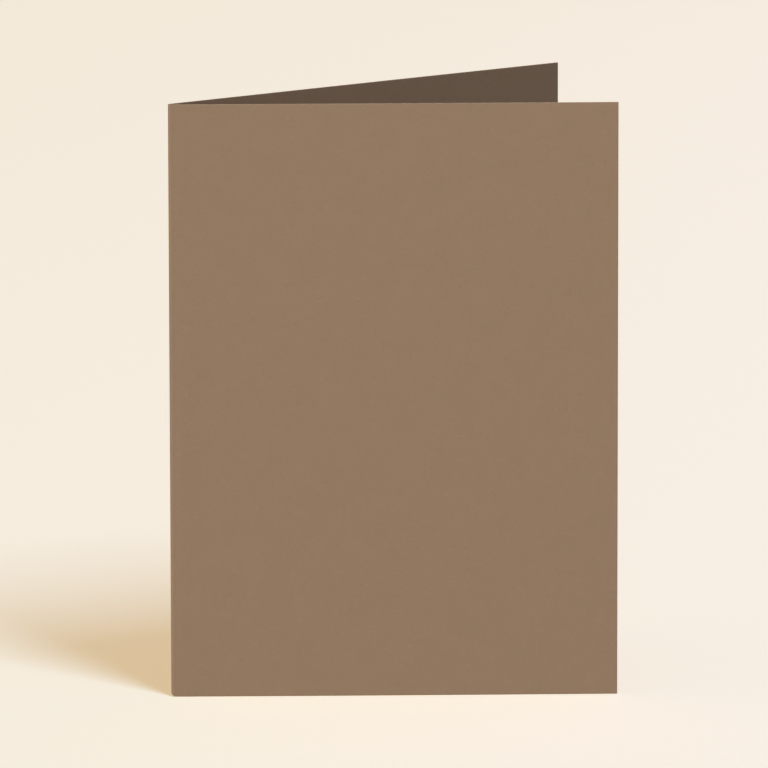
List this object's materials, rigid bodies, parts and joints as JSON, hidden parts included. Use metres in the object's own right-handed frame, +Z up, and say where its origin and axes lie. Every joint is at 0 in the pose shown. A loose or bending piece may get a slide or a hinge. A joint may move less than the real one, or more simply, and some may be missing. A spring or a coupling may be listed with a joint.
{
  "type": "greeting card",
  "caption": "Blank greeting card of plain brown card stock, scored and folded once, standing half open on its lower edges like a book.",
  "frame": {"origin": "middle of the card's footprint, on the surface it stands on", "axes": "+Z up along the fold, -Y out of the cover, +X along the cover from the fold to its free edge"},
  "size_m": [0.1174, 0.0562, 0.1587],
  "materials": {
    "card_stock": "uncoated, matt, fine felt grain"
  },
  "bodies": {
    "root": {"folded_card": "card_stock"}
  },
  "joints": []
}
